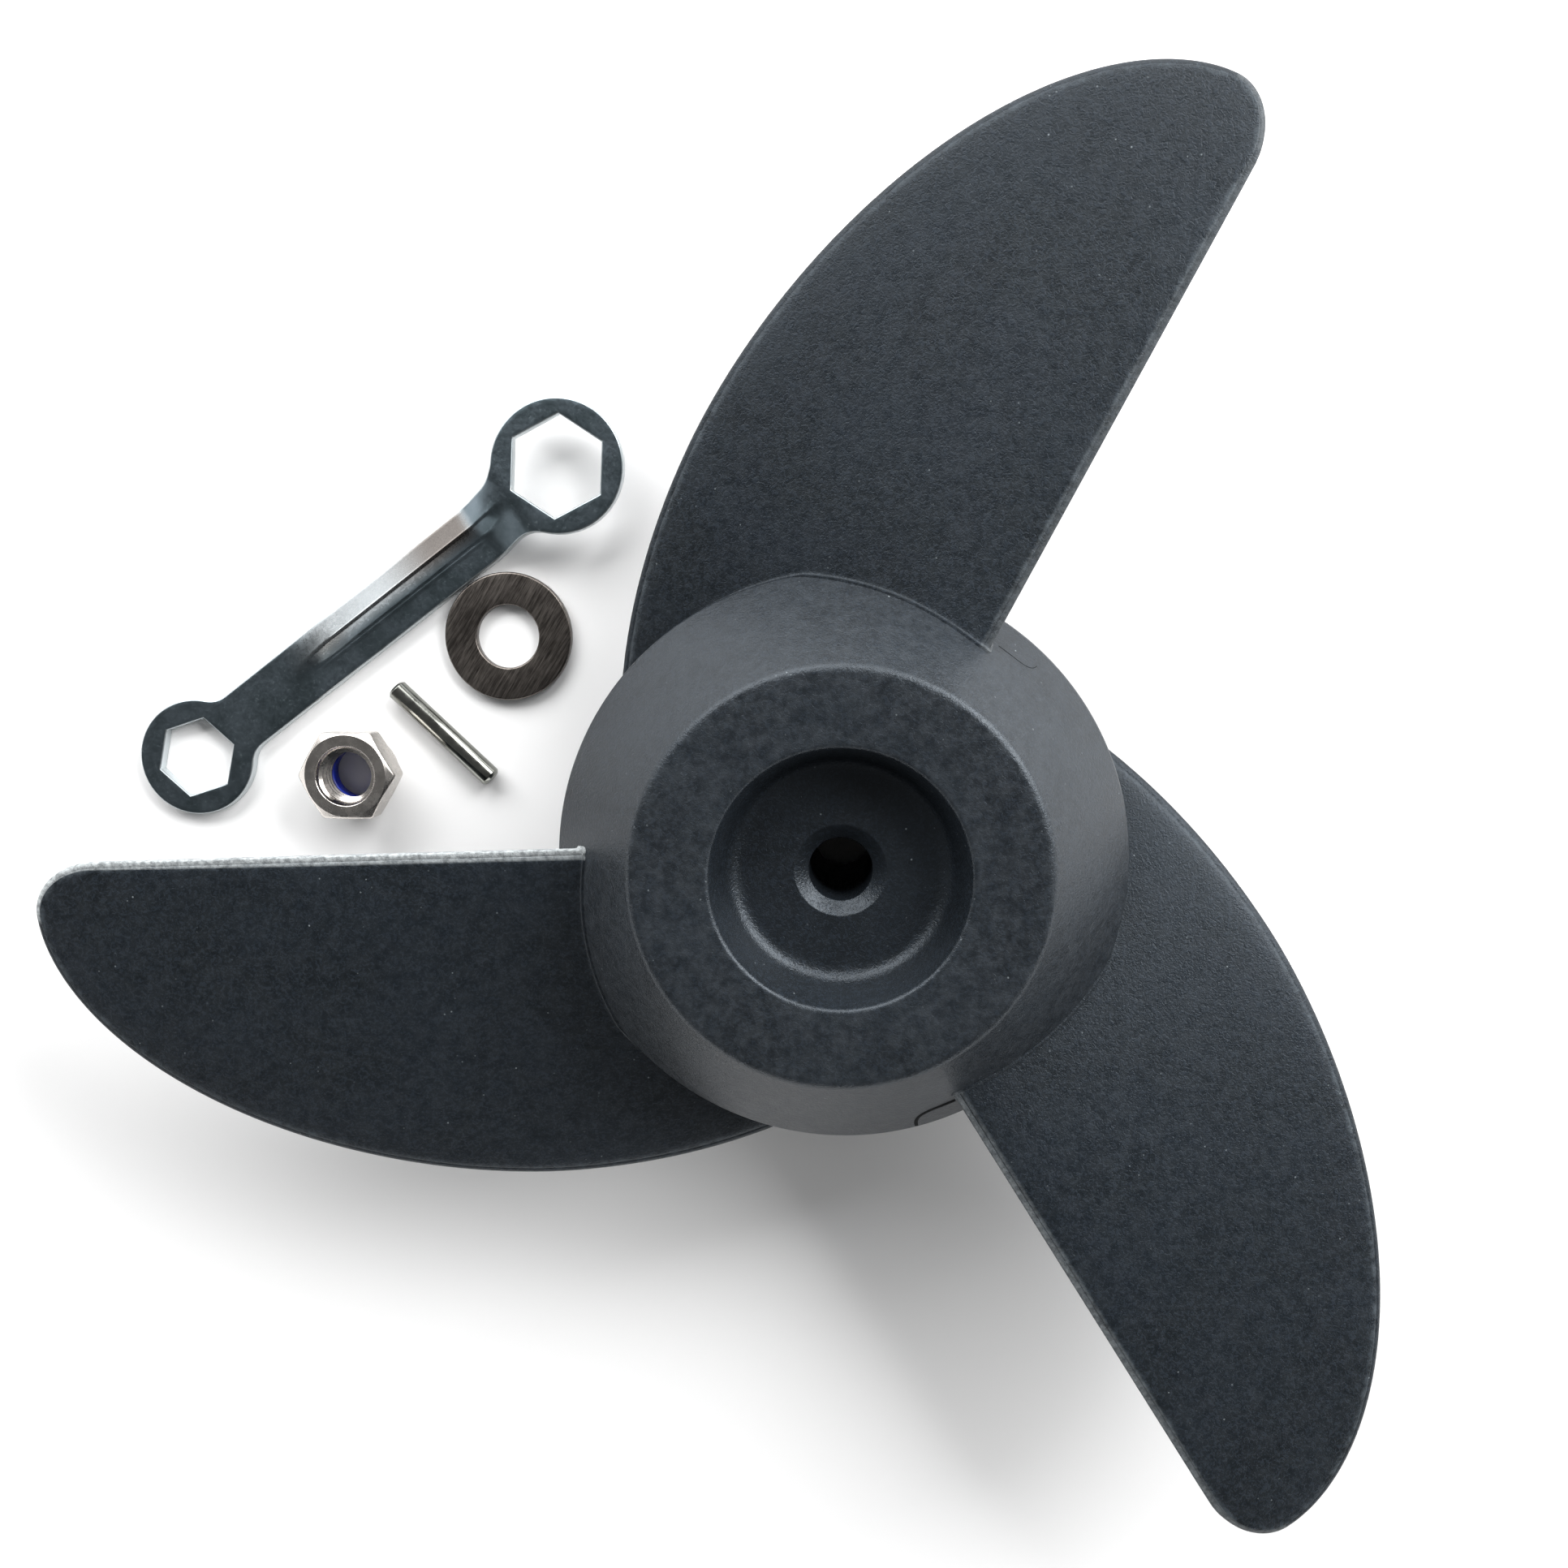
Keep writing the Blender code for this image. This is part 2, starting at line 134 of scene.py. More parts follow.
# Lock nut, as in the CAD
NUT_FLATS = 16 * MM
NUT_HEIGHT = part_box("lock_nut")[1].z
NUT_HEX_BASE_Z = 3.6 * MM
NUT_THREAD_R = 5.05 * MM
NUT_COUNTERSINK_R = 5.6 * MM
NUT_FACE_R = 7.6 * MM
NUT_COLLAR_R = 6.9 * MM
NUT_CHAMFER = math.radians(30)
THREAD_PITCH = 1.25 * MM
INSERT_R = 6.0 * MM
INSERT_HOLE_R = 4.6 * MM
INSERT_BASE_Z = 0.9 * MM
INSERT_HEIGHT = 2.9 * MM
INSERT_SEAT_Z = 4.1 * MM
INSERT_CLEARANCE = 0.2 * MM
NUT_EDGE_ROUND = 0.35 * MM
CHAMFER_ROWS = 16


# ---------------------------------------------------------------- node helpers


def new_material(name):
    material = bpy.data.materials.new(name)
    material.use_nodes = True
    tree = material.node_tree
    return material, tree, tree.nodes["Principled BSDF"]


def connect(tree, socket, value):
    if isinstance(value, bpy.types.NodeSocket):
        tree.links.new(value, socket)
    else:
        socket.default_value = value


def add(tree, kind, output=0, settings=None, **inputs):
    """A node of that kind with its inputs set or linked by name, an underscore standing for a space."""
    node = tree.nodes.new(kind)
    for key, value in (settings or {}).items():
        setattr(node, key, value)
    for key, value in inputs.items():
        connect(tree, node.inputs[key.replace("_", " ")], value)
    return node.outputs[output]


def maths(tree, operation, a, b):
    node = tree.nodes.new("ShaderNodeMath")
    node.operation = operation
    connect(tree, node.inputs[0], a)
    connect(tree, node.inputs[1], b)
    return node.outputs[0]


def mapped(tree, value, low, high, to_low=0.0, to_high=1.0):
    """A value moved smoothly from one range to another, and held within it."""
    node = tree.nodes.new("ShaderNodeMapRange")
    node.interpolation_type = "SMOOTHSTEP"
    for name, setting in (("From Min", low), ("From Max", high), ("To Min", to_low), ("To Max", to_high)):
        node.inputs[name].default_value = setting
    connect(tree, node.inputs["Value"], value)
    return node.outputs["Result"]


def mixed(tree, share, a, b):
    node = tree.nodes.new("ShaderNodeMix")
    node.data_type = "RGBA"
    connect(tree, node.inputs["Factor"], share)
    connect(tree, node.inputs["A"], a)
    connect(tree, node.inputs["B"], b)
    return node.outputs["Result"]


def object_coordinates(tree, stretch=(1, 1, 1), turn=0.0):
    where = add(tree, "ShaderNodeTexCoord", output="Object")
    node = tree.nodes.new("ShaderNodeMapping")
    node.vector_type = "TEXTURE"
    node.inputs["Rotation"].default_value = (0, 0, turn)
    node.inputs["Scale"].default_value = stretch
    tree.links.new(where, node.inputs["Vector"])
    return node.outputs["Vector"]


def noise(tree, where, size, detail=3.0, roughness=0.55, distortion=0.0):
    """Noise whose blotches are about that size, in metres."""
    return add(
        tree, "ShaderNodeTexNoise", Vector=where, Scale=1 / size, Detail=detail,
        Roughness=roughness, Distortion=distortion,
    )


def attribute(tree, name):
    return add(tree, "ShaderNodeAttribute", output="Fac", settings={"attribute_name": name})


def bump(tree, height, distance, strength=1.0, below=None):
    node = tree.nodes.new("ShaderNodeBump")
    node.inputs["Strength"].default_value = strength
    node.inputs["Distance"].default_value = distance
    tree.links.new(height, node.inputs["Height"])
    if below:
        tree.links.new(below, node.inputs["Normal"])
    return node.outputs["Normal"]


def rgb(hexed, gain=1.0):
    """Linear colour of an sRGB hex code, dimmed by a gain below 1."""
    parts = [int(hexed[i : i + 2], 16) / 255 for i in (0, 2, 4)]
    linear = [c / 12.92 if c <= 0.04045 else ((c + 0.055) / 1.055) ** 2.4 for c in parts]
    return (*(c * gain for c in linear), 1.0)


# ---------------------------------------------------------------- materials


def moulded_plastic(name, grain, mottle, shine, gloss, base, light):
    """Glass-filled black nylon: a leathery moulded grain, mottling, scuffs and specks of fibre.

    The meshes carry the distance to the blade's edge, and how scuffed or roughly cut a place is. The pale
    band by the edge is partly wear and partly a painted highlight, and so is the pale cut face of the left
    blade.
    """
    material, tree, shader = new_material(name)
    where = object_coordinates(tree)
    cloud = noise(tree, where, 16 * MM, 4)
    blotch = noise(tree, where, 2.2 * MM, 5, 0.7)
    leather = noise(tree, where, 0.55 * MM, 2, 0.5, 1.2)
    fine = noise(tree, where, 0.16 * MM, 2)
    speck = add(tree, "ShaderNodeTexVoronoi", Vector=where, Scale=1 / (1.9 * MM))
    speck_here = mapped(tree, speck, 0.10, 0.05)
    speck_cloud = mapped(tree, noise(tree, where, 5 * MM, 2), 0.5, 0.72)
    edge = attribute(tree, "edge_mm")
    scuff = attribute(tree, "scuff")
    cut = attribute(tree, "cut")

    colour = mixed(tree, mapped(tree, cloud, 0.30, 0.70), base, light)
    ridge = mapped(tree, leather, 0.48, 0.62)
    colour = mixed(tree, maths(tree, "MULTIPLY", ridge, grain), colour, rgb("1e242b"))
    scuffs = maths(tree, "MULTIPLY", mapped(tree, blotch, 0.25, 0.80), scuff)
    colour = mixed(tree, maths(tree, "MULTIPLY", scuffs, mottle), colour, rgb("3b3f43"))
    # A paler band on the shoulder just inside the blade's edge: partly wear, partly a painted highlight
    # where the rounded shoulder catches the light.
    band = maths(tree, "MULTIPLY", mapped(tree, edge, 0.7, 1.1), mapped(tree, edge, 2.1, 1.3))
    wear_and_highlight = maths(tree, "MULTIPLY", band, mapped(tree, blotch, 0.35, 0.7, 0.0, 0.5))
    colour = mixed(tree, wear_and_highlight, colour, rgb("464d52"))
    # The trimmed trailing face is paler: cut wear, and on the left blade partly a painted highlight.
    torn = mapped(tree, noise(tree, where, 0.9 * MM, 4, 0.7), 0.3, 0.7, 0.35, 1)
    colour = mixed(tree, maths(tree, "MULTIPLY", cut, torn), colour, rgb("b4b9ba"))
    specks = maths(tree, "MULTIPLY", speck_here, speck_cloud)
    colour = mixed(tree, maths(tree, "MULTIPLY", specks, 0.5), colour, rgb("8f979b"))
    connect(tree, shader.inputs["Base Color"], colour)

    roughness = mapped(tree, blotch, 0.3, 0.7, *shine)
    duller = maths(tree, "MULTIPLY", cut, 0.25)
    connect(tree, shader.inputs["Roughness"], maths(tree, "ADD", roughness, duller))
    shader.inputs["Specular IOR Level"].default_value = gloss
    shader.inputs["Specular Tint"].default_value = (0.82, 0.91, 1.0, 1.0)
    under = bump(tree, blotch, 0.05 * MM, 0.35)
    normal = bump(tree, leather, 0.14 * MM, grain, under)
    connect(tree, shader.inputs["Normal"], bump(tree, fine, 0.012 * MM, 0.6, normal))
    return material


def parting_shade_material():
    material, tree, shader = new_material("parting_line_shade")
    where = object_coordinates(tree)
    shade = mapped(tree, noise(tree, where, 0.8 * MM, 3), 0.3, 0.7)
    # The line's near-black, unshiny colour is painted shade for the crack along the mould's parting step.
    connect(tree, shader.inputs["Base Color"], mixed(tree, shade, rgb("050607"), rgb("101213")))
    shader.inputs["Roughness"].default_value = 0.8
    shader.inputs["Specular IOR Level"].default_value = 0.1
    connect(tree, shader.inputs["Normal"], bump(tree, noise(tree, where, 0.3 * MM), 0.04 * MM, 0.6))
    return material


def zinc_plate():
    """Cold-rolled plate under thin zinc: cloudy crystals, dull flats and lighter sheared edges, with a
    painted highlight on the rib's slope that turns to painted shade at its far end.
    """
    material, tree, shader = new_material("zinc_plate")
    where = object_coordinates(tree)
    crystals = noise(tree, where, 0.7 * MM, 5, 0.75, 0.6)
    cloud = noise(tree, where, 6 * MM, 4)
    cut = attribute(tree, "cut")
    pressed = attribute(tree, "pressed")
    painted_slope_shade = attribute(tree, "painted_slope_shade")
    flat = mixed(tree, mapped(tree, cloud, 0.3, 0.7), rgb("525d62"), rgb("68737a"))
    flecks = mapped(tree, crystals, 0.58, 0.72, 0, 0.55)
    flat = mixed(tree, flecks, flat, rgb("8b969b"))
    # The rib's sloped face is painted paler: a painted highlight where the slope catches the key light.
    flat = mixed(tree, pressed, flat, rgb("85898b"))
    # The far end of the rib's slope is darker and browner: painted shade where the slope's painted
    # highlight fades.
    flat = mixed(tree, painted_slope_shade, flat, rgb("453e39"))
    connect(tree, shader.inputs["Base Color"], mixed(tree, cut, flat, rgb("c4cacc")))
    shader.inputs["Metallic"].default_value = 1.0
    dull = mapped(tree, crystals, 0.3, 0.7, 0.30, 0.42)
    polished = maths(tree, "MULTIPLY", pressed, 0.12)
    connect(tree, shader.inputs["Roughness"], maths(tree, "SUBTRACT", dull, polished))
    dents = bump(tree, cloud, 0.06 * MM, 0.25)
    connect(tree, shader.inputs["Normal"], bump(tree, crystals, 0.006 * MM, 0.35, dents))
    return material


def washer_steel():
    """Dark steel brushed along one direction."""
    material, tree, shader = new_material("washer_steel")
    along_lines = object_coordinates(tree, (1, 1 / 18, 1), math.radians(58))
    streak = noise(tree, along_lines, 4 * MM, 4, 0.7)
    cloud = noise(tree, object_coordinates(tree), 4 * MM, 3)
    tone = mapped(tree, maths(tree, "ADD", streak, maths(tree, "MULTIPLY", cloud, 0.4)), 0.45, 0.95)
    connect(tree, shader.inputs["Base Color"], mixed(tree, tone, rgb("45413e"), rgb("7c7671")))
    shader.inputs["Metallic"].default_value = 1.0
    connect(tree, shader.inputs["Roughness"], mapped(tree, streak, 0.3, 0.7, 0.28, 0.42))
    connect(tree, shader.inputs["Normal"], bump(tree, streak, 0.02 * MM, 0.6))
    return material


def polished_steel(name, colour, low, high):
    """Bright steel with faint machining clouds, fingerprints and dents."""
    material, tree, shader = new_material(name)
    where = object_coordinates(tree)
    cloud = noise(tree, where, 2.5 * MM, 4, 0.65)
    tone = mapped(tree, cloud, 0.3, 0.7)
    connect(tree, shader.inputs["Base Color"], mixed(tree, tone, rgb(colour, 0.82), rgb(colour)))
    shader.inputs["Metallic"].default_value = 1.0
    connect(tree, shader.inputs["Roughness"], mapped(tree, cloud, 0.3, 0.7, low, high))
    connect(tree, shader.inputs["Normal"], bump(tree, noise(tree, where, 1.2 * MM, 2), 0.006 * MM, 0.5))
    return material


def blue_nylon():
    material, tree, shader = new_material("nylon")
    where = object_coordinates(tree)
    tone = mapped(tree, noise(tree, where, 1.5 * MM, 3), 0.3, 0.7)
    connect(tree, shader.inputs["Base Color"], mixed(tree, tone, rgb("0a1c8c"), rgb("1a34b8")))
    connect(tree, shader.inputs["Roughness"], mapped(tree, tone, 0, 1, 0.3, 0.42))
    shader.inputs["Subsurface Weight"].default_value = 0.15
    shader.inputs["Subsurface Scale"].default_value = 0.8 * MM
    connect(tree, shader.inputs["Normal"], bump(tree, noise(tree, where, 0.4 * MM), 0.02 * MM, 0.4))
    return material


# ---------------------------------------------------------------- mesh helpers


def set_values(mesh, attributes):
    """Stores a number at each point under each name."""
    for name, values in attributes.items():
        data = mesh.attributes.new(name, "FLOAT", "POINT")
        data.data.foreach_set("value", np.asarray(values, np.float32))


def shade(mesh, crease):
    """Smooth shading, but sharp where faces meet at more than the crease angle in degrees."""
    mesh.shade_smooth()
    mesh.set_sharp_from_angle(angle=math.radians(crease))


def new_piece(name, points, faces, material, body, replaces=(), attributes=None, crease=CREASE):
    """A closed mesh piece that rides on a body and stands for CAD nodes."""
    mesh = bpy.data.meshes.new(name)
    mesh.from_pydata([tuple(p) for p in points], [], faces)
    set_values(mesh, attributes or {})
    edit = bmesh.new()
    edit.from_mesh(mesh)
    bmesh.ops.remove_doubles(edit, verts=edit.verts, dist=0.002 * MM)
    bmesh.ops.recalc_face_normals(edit, faces=edit.faces)
    edit.to_mesh(mesh)
    edit.free()
    shade(mesh, crease)
    mesh.materials.append(material)
    piece = bpy.data.objects.new(name, mesh)
    bpy.context.scene.collection.objects.link(piece)
    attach(piece, body)
    if replaces:
        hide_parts(*replaces)
    return piece


def rounded(corners, steps=6):
    """Closed (radius, height) profile from corners of radius, height and rounding."""
    profile = []
    for index, (radius, height, rounding) in enumerate(corners):
        here = np.array((radius, height))
        if not rounding:
            profile.append(tuple(here))
            continue
        before = np.array(corners[index - 1][:2]) - here
        after = np.array(corners[(index + 1) % len(corners)][:2]) - here
        room = 0.48 * min(np.linalg.norm(before), np.linalg.norm(after))
        before, after = before / np.linalg.norm(before), after / np.linalg.norm(after)
        half = math.acos(float(np.clip(before @ after, -1, 1))) / 2
        reach = min(rounding / math.tan(half), room)
        middle = here + (before + after) / np.linalg.norm(before + after) * reach / math.cos(half)
        start, end = here + before * reach - middle, here + after * reach - middle
        turn = math.pi - 2 * half
        for step in range(steps + 1):
            share = step / steps
            arm = start * math.sin((1 - share) * turn) + end * math.sin(share * turn)
            profile.append(tuple(middle + arm / math.sin(turn)))
    return profile


def turned(profile, steps, centre=(0, 0), shape=None):
    """Points and faces of a closed profile, down its outer side, turned about Z at a place in the plan."""
    count = len(profile)
    points = []
    for step in range(steps):
        angle = 2 * math.pi * step / steps
        for radius, height in profile:
            r = shape(radius, angle) if shape else radius
            points.append((centre[0] + r * math.cos(angle), centre[1] + r * math.sin(angle), height))
    faces = []
    for step in range(steps):
        here, there = step * count, (step + 1) % steps * count
        for corner in range(count):
            following = (corner + 1) % count
            faces.append((here + corner, here + following, there + following, there + corner))
    return points, faces


def centre_of(node):
    low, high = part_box(node)
    return ((low.x + high.x) / 2, (low.y + high.y) / 2)


# ---------------------------------------------------------------- hub


def hub_radius(height):
    """Outer radius of the hub at a height."""
    if height < HUB_RIM_Z:
        return HUB_BASE_R + (HUB_RIM_R - HUB_BASE_R) * height / HUB_RIM_Z
    return HUB_RIM_R + (HUB_FACE_R - HUB_RIM_R) * (height - HUB_RIM_Z) / (HUB_FACE_Z - HUB_RIM_Z)


def hub_profile():
    wall_r = HUB_BASE_R - HUB_WALL
    roof_z = HUB_FACE_Z - HUB_WALL - MM
    roof_r = hub_radius(roof_z) - HUB_WALL - MM
    floor_r = RECESS_R + HUB_WALL
    floor_z = RECESS_FLOOR_Z - RECESS_FLOOR_THICKNESS
    return rounded(
        [
            (HUB_FACE_R, HUB_FACE_Z, 2.2 * MM),
            (HUB_RIM_R, HUB_RIM_Z, 1.6 * MM),
            (HUB_BASE_R, 0, 0.7 * MM),
            (wall_r, 0, 0.5 * MM),
            (wall_r, HUB_RIM_Z - MM, 3 * MM),
            (roof_r, roof_z, 1.5 * MM),
            (floor_r, roof_z, 1.5 * MM),
            (floor_r, floor_z, 1.2 * MM),
            (BOSS_R, floor_z, 1.5 * MM),
            (BOSS_R, BOSS_FACE_Z, 0.6 * MM),
            (BORE_R, BOSS_FACE_Z, 0.4 * MM),
            (BORE_R, RECESS_FLOOR_Z - COUNTERSINK_DEPTH, 0.3 * MM),
            (COUNTERSINK_R, RECESS_FLOOR_Z, 0.5 * MM),
            (RECESS_FLOOR_R, RECESS_FLOOR_Z, 3.2 * MM),
            (RECESS_R, HUB_FACE_Z, 1.0 * MM),
        ]
    )


def upright_plate(name, outline, thickness, angle=0.0):
    """A plate standing on edge, from its counter-clockwise outline in x and z, turned about Z."""
    count = len(outline)
    points = [(x, side * thickness / 2, z) for side in (-1, 1) for x, z in outline]
    faces = [tuple(range(count)), tuple(range(2 * count - 1, count - 1, -1))]
    for corner in range(count):
        following = (corner + 1) % count
        faces.append((following, corner, corner + count, following + count))
    mesh = bpy.data.meshes.new(name)
    mesh.from_pydata(points, [], faces)
    plate = bpy.data.objects.new(name, mesh)
    plate.rotation_euler.z = angle
    bpy.context.scene.collection.objects.link(plate)
    return plate


def apply_booleans(piece, tools):
    """Joins or cuts a piece with plates, keeps the result as its mesh and removes the plates."""
    for operation, tool in tools:
        modifier = piece.modifiers.new(tool.name, "BOOLEAN")
        modifier.operation = operation
        modifier.object = tool
    bpy.context.view_layer.update()
    evaluated = piece.evaluated_get(bpy.context.evaluated_depsgraph_get())
    mesh = bpy.data.meshes.new_from_object(evaluated)
    piece.modifiers.clear()
    piece.data = mesh
    for _, tool in tools:
        bpy.data.objects.remove(tool)


def zone_values(mesh):
    """How scuffed each point of the hub is, and that a blade's edge is far away.

    The aft face is scuffed most, the cone less and the rest hardly at all.
    """
    scuff = []
    for vertex in mesh.vertices:
        x, y, z = vertex.co
        radius = math.hypot(x, y)
        face = z > HUB_FACE_Z - 0.4 * MM and radius > RECESS_R
        cone = z > HUB_RIM_Z and radius > hub_radius(z) - MM
        scuff.append(1.0 if face else 0.7 if cone else 0.1)
    return {"scuff": scuff, "edge_mm": [99.0] * len(scuff)}


def make_hub(material):
    points, faces = turned(hub_profile(), HUB_TURN_STEPS)
    hub = new_piece("hub_moulding", points, faces, material, "propeller", ["hub"])
    boss_r = BOSS_R - OVERLAP
    wall_r = HUB_BASE_R - HUB_WALL + OVERLAP
    recess_wall_r = RECESS_R + HUB_WALL - OVERLAP
    roof_z = HUB_FACE_Z - HUB_WALL
    under_recess_z = RECESS_FLOOR_Z - RECESS_FLOOR_THICKNESS + OVERLAP
    rib_outline = [
        (boss_r, RIB_FACE_Z),
        (wall_r, RIB_FACE_Z),
        (wall_r, HUB_RIM_Z - MM),
        (hub_radius(roof_z) - HUB_WALL + OVERLAP, roof_z),
        (recess_wall_r, roof_z),
        (recess_wall_r, under_recess_z),
        (boss_r, under_recess_z),
    ]
    tools = []
    for index in range(RIB_COUNT):
        angle = 2 * math.pi * index / RIB_COUNT
        tools.append(("UNION", upright_plate(f"rib_{index}", rib_outline, RIB_THICKNESS, angle)))
    slot_end, slot_low, slot_high = PIN_SLOT_LENGTH / 2, BOSS_FACE_Z - OVERLAP, BOSS_FACE_Z + PIN_SLOT_DEPTH
    slot = [(-slot_end, slot_low), (slot_end, slot_low), (slot_end, slot_high), (-slot_end, slot_high)]
    tools.append(("DIFFERENCE", upright_plate("slot", slot, PIN_SLOT_WIDTH)))
    apply_booleans(hub, tools)
    set_values(hub.data, zone_values(hub.data))
    shade(hub.data, CREASE)


def joined_rings(rings, sides):
    """Faces that join rings of points, each of so many sides, into one tube with both ends closed."""
    faces = []
    for ring in range(rings - 1):
        here, there = ring * sides, (ring + 1) * sides
        for corner in range(sides):
            following = (corner + 1) % sides
            faces.append((here + corner, here + following, there + following, there + corner))
    return faces + [tuple(range(sides)), tuple(range((rings - 1) * sides, rings * sides))]


def make_parting_line(index, start, reach, drop, width, material):
    """The line a mould insert leaves on the cone, from a blade's trailing root clockwise to the rim.

    It's a flattened tube, half sunk into the cone, that thins towards its end.
    """
    steps, sides = 32, 8
    flatness, thinning = 0.3, 0.45
    from_radial = math.cos(math.radians(38))  # of the cone's outward normal
    axis = BLADE_FIRST_ANGLE + 2 * math.pi * index / BLADE_COUNT
    path = []
    for step in range(steps + 1):
        turn = step / steps * math.pi / 2
        angle = axis - start - reach * math.sin(turn) ** 0.8
        height = TRAILING_Z - 1.2 * MM - drop * (1 - math.cos(turn)) ** 1.6
        radius = hub_radius(height)
        path.append(Vector((radius * math.cos(angle), radius * math.sin(angle), height)))
    points = []
    for step, here in enumerate(path):
        along = (path[min(step + 1, steps)] - path[max(step - 1, 0)]).normalized()
        out = Vector((here.x, here.y, 0)).normalized() * from_radial + Vector((0, 0, 0.6))
        out = (out - along * out.dot(along)).normalized()
        side = along.cross(out)
        size = width * (1 - thinning * step / steps)
        for corner in range(sides):
            turn = 2 * math.pi * corner / sides
            points.append(here + side * (size * math.cos(turn)) + out * (flatness * size * math.sin(turn)))
    faces = joined_rings(steps + 1, sides)
    new_piece(f"parting_line_shade_{index + 1}", points, faces, material, "propeller")


# ---------------------------------------------------------------- blades


def leading_point(turn):
    """Point of the leading edge in plan: turn is 0 at the widest place and grows towards the tip."""
    if turn < 0:
        return (
            TIP_PEAK_X - LEADING_WIDTH * math.cos(turn),
            LEADING_CENTRE_Y + LEADING_ROOT_LENGTH * math.sin(turn),
        )
    power = 2 / LEADING_FULLNESS
    return (
        TIP_PEAK_X - LEADING_WIDTH * math.cos(turn) ** power,
        LEADING_CENTRE_Y + (TIP_R - LEADING_CENTRE_Y) * math.sin(turn) ** power,
    )


def corner_point(turn):
    """Point of the rounded corner from the end of the straight trailing edge, turn 0, to the tip."""
    return (
        TIP_PEAK_X + (TRAILING_OFFSET - TIP_PEAK_X) * math.cos(turn),
        TIP_R - TIP_CORNER + TIP_CORNER * math.sin(turn),
    )


def point_where(edge, radius, low, high):
    """Where an edge curve crosses a radius."""
    for _ in range(44):
        middle = (low + high) / 2
        if math.hypot(*edge(middle)) < radius:
            low = middle
        else:
            high = middle
    return edge(low)


def trailing_point(radius):
    if radius < math.hypot(*corner_point(0)):
        return (TRAILING_OFFSET, math.sqrt(radius**2 - TRAILING_OFFSET**2))
    return point_where(corner_point, radius, 0, math.pi / 2)


def outline_rows():
    """Both edges at radii that close up towards the tip, their outward normals, and the loop they make."""
    first = BLADE_START_R - 2 * MM
    length = math.hypot(TIP_PEAK_X, TIP_R) - first
    radii = [first + length * math.sin(math.pi / 2 * row / OUTLINE_ROWS) for row in range(OUTLINE_ROWS)]
    trailing = [trailing_point(radius) for radius in radii]
    leading = [point_where(leading_point, radius, -1.0, math.pi / 2) for radius in radii]
    tip = [(TIP_PEAK_X, TIP_R)]
    loop = np.array(trailing + tip + leading[::-1])
    tangent = np.gradient(loop, axis=0)
    normal = np.stack([tangent[:, 1], -tangent[:, 0]], 1)
    normal /= np.linalg.norm(normal, axis=1, keepdims=True)
    count = OUTLINE_ROWS + 1
    return loop[:count], normal[:count], loop[count - 1 :][::-1], normal[count - 1 :][::-1], loop


def squared(turn, power):
    """Unit circle point drawn out towards a square by a power above 2."""
    c, s = math.cos(turn), math.sin(turn)
    return (abs(c) ** (2 / power), math.copysign(abs(s) ** (2 / power), s))


def blade_columns():
    """The columns that run from root to tip, round the blade, and the first one of its trailing edge.

    A column is its radii, angles and offsets in height from the helix. The outline's loop comes too.
    """
    trailing, trailing_normal, leading, leading_normal, loop = outline_rows()
    inner_trailing = trailing - EDGE_HALF * trailing_normal
    inner_leading = leading - EDGE_HALF * leading_normal
    inner_trailing[-1] = inner_leading[-1] = trailing[-1] - (0, EDGE_HALF)
    radii = np.hypot(*trailing.T)
    straight = np.clip((math.hypot(*corner_point(0)) + 4 * MM - radii) / (8 * MM), 0, 1)
    share_out = (radii - BLADE_START_R) / (radii[-1] - BLADE_START_R)
    middle_half = (ROOT_THICKNESS + (TIP_THICKNESS - ROOT_THICKNESS) * share_out) / 2
    near_tip = np.clip((radii - radii[-1] + 14 * MM) / (14 * MM), 0, 1)
    crown = (middle_half - EDGE_HALF) * np.sqrt(1 - near_tip**2)

    def polar(plan):
        return np.hypot(*plan.T), np.arctan2(-plan[:, 0], plan[:, 1])

    columns = []
    start_r, start_a = polar(inner_trailing)
    end_r, end_a = polar(inner_leading)
    shares = [(1 - math.cos(math.pi * step / CHORD_STEPS)) / 2 for step in range(CHORD_STEPS + 1)]

    def face(side, share):
        radius = start_r + (end_r - start_r) * share
        angle = start_a + (end_a - start_a) * share
        return radius, angle, side * (EDGE_HALF + crown * math.sqrt(4 * share * (1 - share)))

    def edge(inner, normal, power, turn):
        reach = np.array([squared(turn, p) for p in power])
        plan = inner + EDGE_HALF * reach[:, :1] * normal
        return (*polar(plan), EDGE_HALF * reach[:, 1])

    cap_turns = [math.pi / 2 - math.pi * step / EDGE_STEPS for step in range(1, EDGE_STEPS)]
    round_power = np.full(len(radii), 2.0)
    square_power = 2 + 5 * straight
    columns += [face(1, share) for share in shares]
    columns += [edge(inner_leading, leading_normal, round_power, turn) for turn in cap_turns]
    columns += [face(-1, share) for share in shares[::-1]]
    columns += [edge(inner_trailing, trailing_normal, square_power, -turn) for turn in cap_turns]
    first_cut = len(columns) - len(cap_turns)
    return columns, first_cut, loop


def blade_place(radius, angle, offset):
    height = TRAILING_Z - LEAD * (angle + math.asin(TRAILING_OFFSET / radius)) + offset
    return np.array((-radius * math.sin(angle), radius * math.cos(angle), height))


